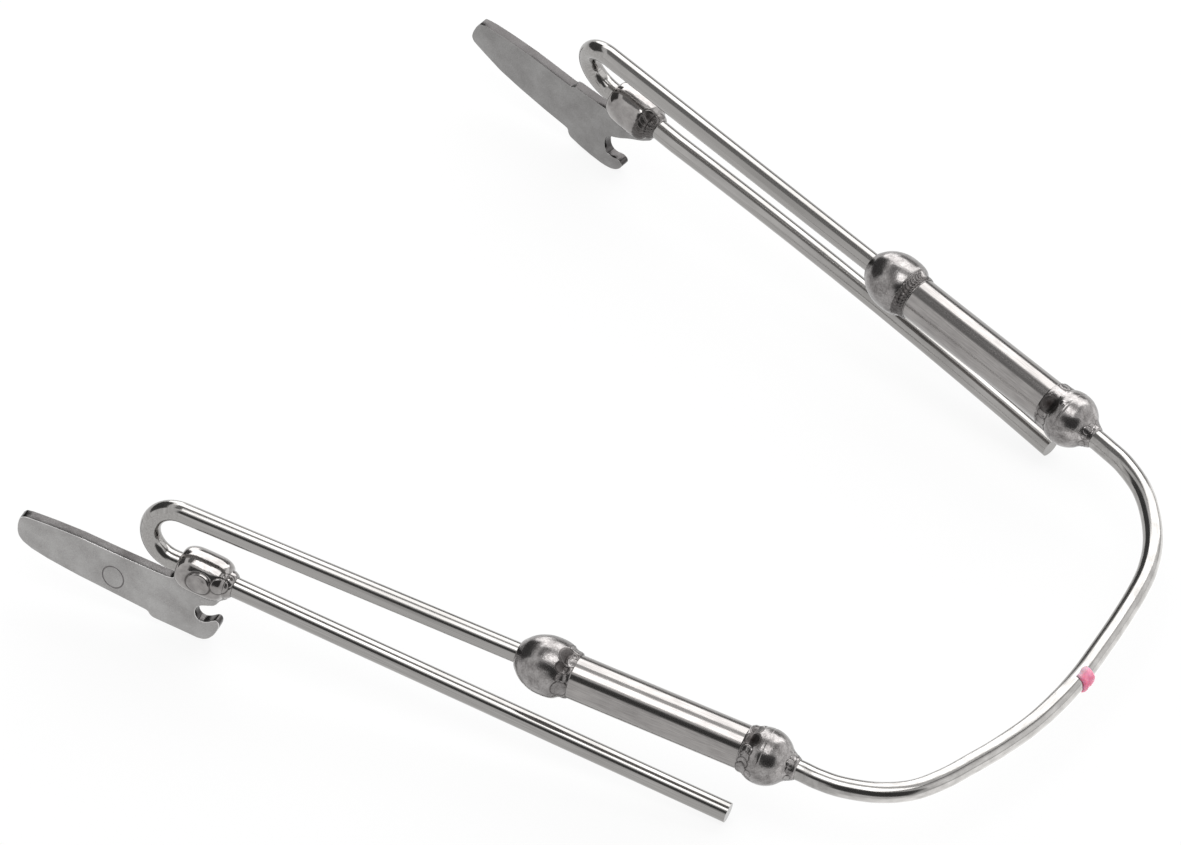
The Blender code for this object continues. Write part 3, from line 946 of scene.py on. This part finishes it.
    def sheath(self) -> bpy.types.Object:
        """Turn the sheath bead on the lower leg.

        Returns:
            The sheath.
        """
        _, corner, leg = self.path()
        line = Line(corner + leg * self.bead_at, leg)
        rows = [(self.bead_half * t, self.bead_r * r) for t, r in self.bead]
        rows += [(self.bead_half + t, WIRE_R + rise) for t, rise in self.neck]
        rows = smooth_rows(rows)
        rows += [(rows[-1][0], WIRE_R + SEAT_GAP), (-self.bead_half, WIRE_R + SEAT_GAP)]
        sheath = spin(f"{self.side.value}_sheath_polished", line, rows, 192)
        map_round(sheath, line, self.bead_r)
        if self.side is Side.LEFT:
            spots = [Spot(1.22, 100, (0.14, 0.6), 0.0, 0.0, 0.8)]
            spots += chain(1.02, 200, 112, 7, (0.36, 0.3), -0.03, 0.035, 0.9)
        else:
            spots = [
                Spot(1.16, 118, (0.26, 0.3), 0.03, 0.02, 0.15),
                Spot(0.04, 162, (0.56, 0.52), 0.06, 0.02, 0.1),
                Spot(0.9, 147, (0.36, 0.38), 0.03, 0.02, 0.1),
            ]
        stamp(sheath, line, spots, WIRE_R + 0.05, WIRE_R)
        dress(sheath, BRIGHT.make())
        return sheath

    def build(self, nodes: dict[str, bpy.types.Object]) -> None:
        """Build the pieces and ride them on this side's arm.

        Args:
            nodes: the frame's solids by name.
        """
        for piece, node, slot in (
            (self.wire(), "arm_wire", "polished_wire"),
            (self.sheath(), "sheath", "bright_steel"),
        ):
            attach(piece, f"{self.side.value}_arm")
            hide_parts(f"{self.side.value}_{node}")
            LOG.info("%s stands for %s_%s", piece.name, self.side.value, node)
        dress(nodes[f"{self.side.value}_stop_collar"], TURNED.make())


@dataclass
class MolarPlate:
    """Sheet plate of one side: blade, ring mark, hook and tab.

    The outlines of tab, blade and hook are (along, up) from the plate's own
    origin on its cheek side. Both plates are ground by hand and differ a little.
    """

    side: Side
    bevel: float = 0.08
    ring_at: tuple[float, float] = (0.52, -1.32)
    ring_half: tuple[float, float] = (0.5, 0.66)
    ring_wire: float = 0.03
    origin: Vector = field(init=False)
    along: Vector = field(init=False)
    up: Vector = field(init=False)
    out: Vector = field(init=False)

    TAB: ClassVar[dict[Side, Rows]] = {
        Side.LEFT: (
            (5.2, -0.05), (5.42, 0.1), (5.6, 0.26), (5.85, 0.48), (5.98, 0.75), (3.5, 0.75),
            (3.34, 0.42), (1.42, 0.37), (1.3, 0.31), (1.22, 0.2), (0.6, 0.22), (-1.2, 0.27),
            (-2.6, 0.2), (-3.6, 0.1),
        ),
        Side.RIGHT: (
            (5.28, -0.34), (5.42, -0.12), (5.55, 0.16), (5.85, 0.44), (5.98, 0.75), (3.5, 0.75),
            (3.34, 0.42), (3.2, 0.28), (2.9, 0.22), (0.6, 0.22), (-1.2, 0.27), (-2.6, 0.2), (-3.6, 0.1),
        ),
    }  # fmt: skip
    BLADE: ClassVar[dict[Side, Rows]] = {
        Side.LEFT: (
            (-3.95, 0.03), (-4.2, -0.05), (-4.38, -0.42), (-4.52, -0.85), (-4.57, -1.2), (-4.45, -1.42),
            (-4.18, -1.54), (-3.73, -1.71), (-2.8, -2.04), (-1.6, -2.26), (-0.1, -2.45), (1.15, -2.56),
        ),
        Side.RIGHT: (
            (-3.92, 0.02), (-4.08, -0.2), (-4.13, -0.6), (-4.12, -1.0), (-4.03, -1.32), (-3.82, -1.57),
            (-3.38, -1.79), (-2.6, -1.98), (-1.8, -2.1), (-1.05, -2.2), (0.9, -2.37),
        ),
    }  # fmt: skip
    HOOK: ClassVar[dict[Side, Rows]] = {
        Side.LEFT: (
            (1.27, -2.6), (1.33, -2.84), (1.46, -2.98), (2.08, -3.11), (2.69, -3.18), (3.28, -3.2),
            (3.6, -3.17), (3.9, -3.09), (4.16, -2.93), (4.36, -2.7), (4.46, -2.45), (4.4, -2.28),
            (4.24, -2.2), (4.06, -2.23), (3.9, -2.3), (3.72, -2.32), (3.54, -2.25), (3.42, -2.08),
            (3.37, -1.8), (3.38, -1.5), (3.47, -1.26), (3.66, -1.08), (3.95, -0.92), (4.25, -0.72),
            (4.55, -0.48), (4.85, -0.27),
        ),
        Side.RIGHT: (
            (2.2, -2.49), (2.3, -2.56), (2.38, -2.7), (2.55, -2.79), (3.8, -2.81), (4.7, -2.84),
            (4.98, -2.76), (5.2, -2.58), (5.4, -2.26), (5.53, -1.93), (5.61, -1.62), (5.61, -1.4),
            (5.54, -1.26), (5.42, -1.23), (5.28, -1.34), (5.12, -1.5), (4.96, -1.62), (4.77, -1.68),
            (4.59, -1.62), (4.48, -1.47), (4.43, -1.24), (4.46, -0.98), (4.56, -0.79), (4.74, -0.64),
            (4.95, -0.53),
        ),
    }  # fmt: skip

    def __post_init__(self) -> None:
        """Set the plate's origin and axes: along it, up it and out of its cheek side."""
        self.origin = self.side.place(PLATE_O)
        self.along = self.side.place(PLATE_U)
        self.up = (Vector((0, 0, 1)) - self.along * self.along.z).normalized()
        self.out = self.along.cross(self.up)
        if (self.out.y > 0) != (self.side is Side.LEFT):
            self.out.negate()

    def at(self, along: float, up: float, out: float = 0.0) -> Vector:
        """Return a point of the plate in millimetres."""
        return self.origin + self.along * along + self.up * up + self.out * out

    def outline(self) -> list[tuple[float, float]]:
        """Ease the corners of tab, blade and hook.

        Returns:
            The plate's whole outline.
        """
        rounds, most, cut = 3, 0.25, 0.05
        corners = (*self.TAB[self.side], *self.BLADE[self.side], *self.HOOK[self.side])
        points = [np.array(corner) for corner in corners]
        for _ in range(rounds):
            eased = []
            for before, here, after in zip(points[-1:] + points[:-1], points, points[1:] + points[:1]):
                for other in (before, after):
                    length = float(np.linalg.norm(other - here))
                    eased.append(here + (other - here) * min(most, cut / length))
            points = eased
        return [tuple(p) for p in points]

    def blank(self) -> bpy.types.Object:
        """Cut the sheet: fill the outline, extrude it and bevel its edges.

        Returns:
            The plate.
        """
        plate = edge_loop(f"{self.side.value}_molar_plate_ground", [self.at(*p) for p in self.outline()])
        bpy.ops.object.mode_set(mode="EDIT")
        bpy.ops.mesh.select_all(action="SELECT")
        bpy.ops.mesh.edge_face_add()
        bpy.ops.mesh.extrude_region_move(TRANSFORM_OT_translate={"value": self.out * -PLATE_T * MM})
        bpy.ops.object.mode_set(mode="OBJECT")
        face_out(plate)
        edge = plate.modifiers.new("edge", "BEVEL")
        edge.width, edge.segments = self.bevel * MM, 4
        edge.limit_method, edge.angle_limit = "ANGLE", math.radians(60)
        bpy.ops.object.modifier_apply(modifier=edge.name)
        return plate

    def ring(self, plate: bpy.types.Object) -> None:
        """Cut the fine oval ring in the cheek side, with a torus drawn out to its shape.

        Args:
            plate: the plate.
        """
        # The torus has a radius of one and a tube a tenth as thick
        radius, tenths = 1.0, 10
        bpy.ops.object.select_all(action="DESELECT")
        bpy.ops.mesh.primitive_torus_add(
            major_segments=96, minor_segments=10, major_radius=radius, minor_radius=radius / tenths
        )
        cutter = bpy.context.object
        dress(cutter, groove())
        x, y, z = (points_of(cutter) * MM).T
        far = np.hypot(x, y)
        grow = 1 + (far - radius) * tenths * self.ring_wire / self.ring_half[0]
        along = self.ring_at[0] + self.ring_half[0] * grow * x / far
        up = self.ring_at[1] + self.ring_half[1] * grow * y / far
        out = z * tenths * self.ring_wire
        set_points(cutter, np.array([self.at(*place) for place in zip(along, up, out)]))
        face_out(cutter)
        only(plate)
        cut = plate.modifiers.new("ring", "BOOLEAN")
        cut.operation, cut.object = "DIFFERENCE", cutter
        cut.solver, cut.material_mode = "EXACT", "TRANSFER"
        bpy.ops.object.modifier_apply(modifier=cut.name)
        bpy.data.objects.remove(cutter)

    def build(self) -> None:
        """Build the plate and ride it on this side's arm."""
        plate = self.blank()
        dress(plate, satin(self.side, self.out).make())
        self.ring(plate)
        only(plate)
        bpy.ops.object.shade_smooth_by_angle(angle=math.radians(35))
        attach(plate, f"{self.side.value}_arm")
        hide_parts(f"{self.side.value}_molar_plate")
        LOG.info("%s stands for %s_molar_plate", plate.name, self.side.value)


@dataclass
class Bow:
    """The bow wire that joins the two front balls.

    The shape is (forward, across) in shares of the bow's depth and of half its
    span. The bend is how far each hand bent point lies outside it, in millimetres.
    """

    shape: Rows = (
        (0.2788, 0.9675), (0.4064, 0.9427), (0.5675, 0.8854), (0.6976, 0.7981), (0.803, 0.6912),
        (0.8761, 0.5774), (0.9306, 0.4577), (0.974, 0.2908), (0.995, 0.1283),
    )  # fmt: skip
    bend: ClassVar[dict[Side, tuple[float, ...]]] = {
        Side.LEFT: (-0.05, -0.04, -0.04, 0.0, 0.06, 0.06, -0.05, -0.14, -0.14),
        Side.RIGHT: (0.06, 0.08, 0.08, 0.11, -0.06, -0.18, -0.18, -0.08, -0.06),
    }
    middle_bend: float = -0.08

    def half(self, side: Side) -> list[Vector]:
        """Lay out one half.

        Args:
            side: which half.

        Returns:
            Its points, from the ball to the middle.
        """
        past_middle = ((1.0, 0.0), (0.995, -0.1283))
        plain = [Vector((BOW_DEPTH * x, BALL.y * y, 0)) for x, y in (*self.shape, *past_middle)]
        points = [BALL + AXIS * t for t in (0.52, 1.05, 1.5)]
        for before, here, after, out in zip(plain[:1] + plain, plain, plain[1:], self.bend[side]):
            way = (after - before).normalized()
            bent = here + Vector((-way.y, way.x, 0)) * out
            points.append(Vector((BALL.x + bent.x, bent.y, BALL.z - BOW_SLOPE * bent.x)))
        return [side.place(p) for p in points]

    def build(self) -> None:
        """Bend the bow and ride it on the front body."""
        forward = BOW_DEPTH + self.middle_bend
        middle = Vector((BALL.x + forward, 0, BALL.z - BOW_SLOPE * forward))
        points = self.half(Side.LEFT) + [middle] + self.half(Side.RIGHT)[::-1]
        wire = bent_wire("bow_wire_polished", smooth_path(points, 8), WIRE_R, 48)
        dress(wire, WIRE.make())
        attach(wire, "front")
        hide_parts("bow_wire")
        LOG.info("%s stands for bow_wire", wire.name)


@dataclass
class WaxMark:
    """Pink wax pressed on the middle of the bow by hand, over its front and under side.

    Half is half its length along the wire, thick is its height over it, and span
    is the angles that it reaches round it. Foot is the height of its border.
    """

    half: float = 0.38
    thick: float = 0.17
    foot: float = 0.02
    span: tuple[float, float] = (-112.0, 84.0)

    def wax(self) -> bpy.types.Material:
        """Build the finish: marking wax, softened and pressed on by finger.

        It is soft and matt, lets a little light in, and shows paler patches, and
        its top is painted grey mauve as shade.

        Returns:
            The material.
        """
        made = bpy.data.materials.new("pink_marking_wax")
        made.use_nodes = True
        tree = made.node_tree
        shader = tree.nodes["Principled BSDF"]
        patch, dent, seen_into = 0.35 * MM, 0.02 * MM, 0.2 * MM
        place = add_node(tree, "ShaderNodeTexCoord").outputs["Object"]
        wide = add_node(tree, MAPPING, {"Vector": place, "Scale": (1 / patch,) * 3})
        inputs = {"Vector": wide.outputs[0], "Scale": 1.0, "Detail": 4.0}
        noise = add_node(tree, NOISE, inputs).outputs["Fac"]
        share = add_node(tree, RANGE, {"Value": noise, "From Min": 0.35, "From Max": 0.65}).outputs[0]
        inputs = {"Factor": share, 6: linear("d76387"), 7: linear("e893ae")}
        colour = add_node(tree, MIX, inputs, data_type="RGBA").outputs[2]
        # Painted shade: the top of the wax is greyed towards grey mauve
        painted_shade = add_node(tree, "ShaderNodeAttribute", attribute_name="painted_shade").outputs["Fac"]
        inputs = {"Factor": painted_shade, 6: colour, 7: linear("b79fa9")}
        shaded_wax = add_node(tree, MIX, inputs, data_type="RGBA").outputs[2]
        bump = add_node(tree, "ShaderNodeBump", {"Height": noise, "Strength": 1.0, "Distance": dent})
        tree.links.new(shaded_wax, shader.inputs["Base Color"])
        tree.links.new(bump.outputs[0], shader.inputs["Normal"])
        shader.inputs["Roughness"].default_value = 0.5
        shader.inputs["Subsurface Weight"].default_value = 0.3
        shader.inputs["Subsurface Scale"].default_value = seen_into
        return made

    def build(self) -> None:
        """Wrap a grid round the wire, press it uneven and close it inward."""
        forward = BOW_DEPTH + Bow.middle_bend
        middle = np.array((BALL.x + forward, 0.0, BALL.z - BOW_SLOPE * forward))
        bpy.ops.object.select_all(action="DESELECT")
        bpy.ops.mesh.primitive_grid_add(x_subdivisions=60, y_subdivisions=36, size=2.0)
        mark = bpy.context.object
        mark.name = mark.data.name = "midline_wax"
        u, v, _ = (points_of(mark) * MM).T
        start, end = self.span
        ragged_ends = 1 + 0.05 * np.sin(5 * u + 1.0) + 0.03 * np.sin(11 * u)
        ragged_sides = 1 - 0.04 * v**2 + 0.03 * np.sin(4 * v)
        along = self.half * v * ragged_ends
        turn = np.radians((start + end) / 2 + (end - start) / 2 * u * ragged_sides)
        lump = (1 - u**8) * (1 - v**8) * (0.8 + 0.2 * np.sin(3 * u + 2 * v) * np.cos(2 * u - 3 * v))
        inner = WIRE_R + SEAT_GAP
        outer = inner + self.foot + (self.thick - self.foot) * lump
        set_points(mark, middle + np.stack([outer * np.cos(turn), along, outer * np.sin(turn)], 1))
        only(mark)
        bpy.ops.object.mode_set(mode="EDIT")
        bpy.ops.mesh.select_all(action="SELECT")
        bpy.ops.mesh.extrude_region_move()
        bpy.ops.object.mode_set(mode="OBJECT")
        moved = np.array([vertex.select for vertex in mark.data.vertices])
        points = points_of(mark)
        away = points - middle
        shrink = inner / np.hypot(away[:, 0], away[:, 2])
        points[moved] = (middle + away * np.stack([shrink, np.ones(len(shrink)), shrink], 1))[moved]
        set_points(mark, points)
        # Painted shade on the top of the wax, rising from 50 degrees round the wire upward
        shade_from, shade_over, shade_most = 50, 26, 0.85
        over = np.degrees(np.arctan2(points[:, 2] - middle[2], points[:, 0] - middle[0]))
        painted_shade = np.clip((over - shade_from) / shade_over, 0, shade_most)
        mark.data.attributes.new("painted_shade", "FLOAT", "POINT").data.foreach_set("value", painted_shade)
        face_out(mark, smooth=60)
        dress(mark, self.wax())
        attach(mark, "front")
        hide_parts("midline_mark")
        LOG.info("%s stands for midline_mark", mark.name)


# The studio


@dataclass(frozen=True)
class Card:
    """A card that the metal mirrors and that nothing else shows.

    Args:
        name: its name.
        toward: its direction from the object.
        distance: how far it stands from the object, in metres.
        size: its width and height in metres.
        shade: how bright it is, from 0 for black to 1 for white or more.
        soft: the share of its half width over which each edge fades.
    """

    name: str
    toward: Vector
    distance: float
    size: tuple[float, float]
    shade: float
    soft: float = 0.4


@dataclass
class Studio:
    """Camera, pale floor, white surround, softboxes and cards.

    The camera's axes, place, lens and shift are fitted to the photograph. The
    cards and the bright patch of floor are where the reflections in the
    photograph say that something dark or bright stood. The camera's place is in
    millimetres and every other length here in metres.
    """

    right: Vector = Vector((0.8327005, 0.5537222, -0.0012365))
    up: Vector = Vector((-0.4057492, 0.6116917, 0.6791177))
    back: Vector = Vector((0.3767989, -0.565, 0.7340283))
    eye: Vector = Vector((227.1975, -339.0, 445.0418))
    lens: float = 427.976
    sensor: float = 36.0
    shift: tuple[float, float] = (-0.07993, 0.03254)
    sight: tuple[float, float] = (0.01, 10.0)
    floor_r: float = 0.6
    floor_z: float = -0.00002
    patch_at: tuple[float, float, float] = (0.042, 0.02, -0.00001)
    patch_size: tuple[float, float] = (0.056, 0.08)
    patch_shade: float = 1.9
    patch_soft: float = 0.2

    CARDS: ClassVar[tuple[Card, ...]] = (
        Card("card_front", Vector((0.13, -0.72, 0.68)), 0.45, (0.38, 0.27), 0.09),
        Card("card_front_right", Vector((0.61, -0.635, 0.47)), 0.45, (0.64, 0.54), 0.09),
        Card("card_over_left", Vector((-0.3, -0.02, 0.95)), 0.43, (0.38, 0.15), 0.26, 0.25),
        Card("card_over_right", Vector((0.62, 0.14, 0.98)), 0.45, (0.5, 0.06), 0.12),
        Card("card_back_right", Vector((0.78, 0.42, 0.36)), 0.47, (0.66, 0.36), 1.5, 0.2),
        Card("card_left", Vector((-0.92, 0.06, 0.34)), 0.45, (0.64, 0.5), 0.1, 0.2),
        Card("card_back_low", Vector((-0.17, 0.96, 0.21)), 0.5, (0.36, 0.2), 0.28),
    )

    def camera(self) -> None:
        """Stand the camera where the photograph was taken from."""
        data = bpy.data.cameras.new("camera")
        data.sensor_width, data.lens = self.sensor, self.lens
        data.shift_x, data.shift_y = self.shift
        data.clip_start, data.clip_end = self.sight
        camera = bpy.data.objects.new("camera", data)
        bpy.context.scene.collection.objects.link(camera)
        turn = Matrix((self.right.normalized(), self.up.normalized(), self.back.normalized())).transposed()
        camera.matrix_world = Matrix.Translation(self.eye * MM) @ turn.to_4x4()
        bpy.context.scene.camera = camera

    def looked_at(self, tree: bpy.types.NodeTree) -> bpy.types.NodeSocket:
        """Tell what is looked at, straight or through gloss or glass, from what only lights.

        Args:
            tree: the node tree.

        Returns:
            1 where it is looked at and 0 where it isn't.
        """
        rays = add_node(tree, "ShaderNodeLightPath").outputs
        inputs = {0: rays["Is Camera Ray"], 1: rays["Is Glossy Ray"]}
        eye = add_node(tree, MATH, inputs, operation="MAXIMUM")
        inputs = {0: eye.outputs[0], 1: rays["Is Transmission Ray"]}
        return add_node(tree, MATH, inputs, operation="MAXIMUM").outputs[0]

    def glowing(self, name: str, strength: float) -> tuple[bpy.types.Material, bpy.types.NodeSocket]:
        """Start a material that glows.

        Args:
            name: the material's name.
            strength: how strongly it glows.

        Returns:
            The material and its glow.
        """
        made = bpy.data.materials.new(name)
        made.use_nodes = True
        tree = made.node_tree
        tree.nodes.clear()
        glow = add_node(tree, "ShaderNodeEmission", {"Color": (1, 1, 1, 1), "Strength": strength})
        return made, glow.outputs[0]

    def white(self, name: str, lit: float) -> bpy.types.Material:
        """Build a white surface, which glows where it is looked at.

        Args:
            name: the material's name.
            lit: the share that keeps light and shadow.

        Returns:
            The material.
        """
        made, glow = self.glowing(name, 1.0)
        tree = made.node_tree
        matt = add_node(tree, "ShaderNodeBsdfDiffuse", {"Color": (0.86, 0.86, 0.86, 1.0)})
        share = add_node(tree, MATH, {0: self.looked_at(tree), 1: 1.0 - lit}, operation="MULTIPLY")
        mix = add_node(tree, "ShaderNodeMixShader", {0: share.outputs[0], 1: matt.outputs[0], 2: glow})
        add_node(tree, "ShaderNodeOutputMaterial", {"Surface": mix.outputs[0]})
        return made

    def veil(self, name: str, shade: float, soft: float) -> bpy.types.Material:
        """Build a card's surface, an even shade that fades to nothing at each edge.

        Args:
            name: the material's name.
            shade: how bright it is.
            soft: the share of its half width over which it fades.

        Returns:
            The material.
        """
        made, glow = self.glowing(name, shade)
        tree = made.node_tree
        place = add_node(tree, "ShaderNodeTexCoord").outputs["UV"]
        inputs = {0: place, 1: (0.5, 0.5, 0.0)}
        middle = add_node(tree, "ShaderNodeVectorMath", inputs, operation="SUBTRACT")
        away = add_node(tree, "ShaderNodeVectorMath", {0: middle.outputs[0]}, operation="ABSOLUTE")
        both = add_node(tree, "ShaderNodeSeparateXYZ", {0: away.outputs[0]})
        limits = {"From Min": 0.5, "From Max": 0.5 - soft / 2}
        fades = {}
        for key, axis in enumerate(("X", "Y")):
            inputs = {"Value": both.outputs[axis], **limits}
            fades[key] = add_node(tree, RANGE, inputs, interpolation_type="SMOOTHSTEP").outputs[0]
        solid = add_node(tree, MATH, fades, operation="MULTIPLY")
        clear = add_node(tree, "ShaderNodeBsdfTransparent")
        mix = add_node(tree, "ShaderNodeMixShader", {0: solid.outputs[0], 1: clear.outputs[0], 2: glow})
        add_node(tree, "ShaderNodeOutputMaterial", {"Surface": mix.outputs[0]})
        return made

    def floor(self) -> None:
        """Lay the pale floor under the feet."""
        bpy.ops.object.select_all(action="DESELECT")
        bpy.ops.mesh.primitive_circle_add(
            vertices=64, radius=self.floor_r, fill_type="NGON", location=(0, 0, self.floor_z)
        )
        floor = bpy.context.object
        floor.name = "floor"
        dress(floor, self.white("pale_floor", 0.12))

    def world(self) -> None:
        """Surround everything with white that lights it softly."""
        world = bpy.data.worlds.new("surround")
        bpy.context.scene.world = world
        world.use_nodes = True
        tree = world.node_tree
        tree.nodes.clear()
        inputs = {"Value": self.looked_at(tree), "To Min": 0.5, "To Max": 1.0}
        strength = add_node(tree, RANGE, inputs).outputs[0]
        light = add_node(tree, "ShaderNodeBackground", {"Color": (1, 1, 1, 1), "Strength": strength})
        add_node(tree, "ShaderNodeOutputWorld", {"Surface": light.outputs[0]})

    def stand(self, thing: bpy.types.Object, toward: Vector, distance: float, wide: Vector) -> None:
        """Stand a thing facing the object.

        Args:
            thing: the lamp or card.
            toward: its direction from the object.
            distance: how far away it is.
            wide: the direction that its width runs along, as nearly as it can.
        """
        way = toward.normalized()
        across = (wide - way * wide.dot(way)).normalized()
        turn = Matrix((across, way.cross(across), way)).transposed()
        thing.matrix_world = Matrix.LocRotScale(way * distance, turn.to_quaternion(), thing.scale)

    def softbox(
        self, name: str, toward: Vector, distance: float, size: tuple[float, float], radiance: float
    ) -> None:
        """Hang a rectangular lamp that faces the object.

        Args:
            name: its name.
            toward: its direction from the object.
            distance: how far away it is.
            size: its width and height.
            radiance: how bright its face is.
        """
        data = bpy.data.lights.new(name, "AREA")
        data.shape, data.size, data.size_y = "RECTANGLE", size[0], size[1]
        data.energy = radiance * math.pi * size[0] * size[1]
        lamp = bpy.data.objects.new(name, data)
        bpy.context.scene.collection.objects.link(lamp)
        self.stand(lamp, toward, distance, Vector((1, 0, 0)))

    def veiled(self, name: str, size: tuple[float, float], shade: float, soft: float) -> bpy.types.Object:
        """Make a flat rectangle that only gloss shows.

        Args:
            name: its name.
            size: its width and height.
            shade: how bright it is.
            soft: the share of its half width over which it fades.

        Returns:
            The rectangle, lying at the origin.
        """
        bpy.ops.object.select_all(action="DESELECT")
        bpy.ops.mesh.primitive_grid_add(x_subdivisions=2, y_subdivisions=2, size=1.0)
        made = bpy.context.object
        made.name = name
        made.scale = (*size, 1.0)
        made.visible_camera = made.visible_diffuse = made.visible_shadow = False
        dress(made, self.veil(name, shade, soft))
        return made

    def build(self) -> None:
        """Build the whole studio."""
        self.camera()
        self.floor()
        self.world()
        patch = self.veiled("floor_glow", self.patch_size, self.patch_shade, self.patch_soft)
        patch.location = self.patch_at
        self.softbox("softbox_over", Vector((0.16, -0.14, 1.0)), 0.5, (0.44, 0.26), 2.9)
        self.softbox("softbox_back", Vector((-0.245, 0.8, 0.545)), 0.55, (0.8, 0.6), 2.4)
        for plan in self.CARDS:
            card = self.veiled(plan.name, plan.size, plan.shade, plan.soft)
            sideways = abs(plan.toward.x) > abs(plan.toward.y)
            self.stand(card, plan.toward, plan.distance, Vector((0, 1, 0) if sideways else (1, 0, 0)))
        bpy.context.scene.view_settings.view_transform = "Standard"


def main() -> None:
    """Build the scene."""
    logging.basicConfig(level=logging.INFO)
    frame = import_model()
    Studio().build()
    Bow().build()
    for side in Side:
        Telescope(side).build()
        Arm(side).build(frame["nodes"])
        MolarPlate(side).build()
    WaxMark().build()


if __name__ == "__main__":
    main()
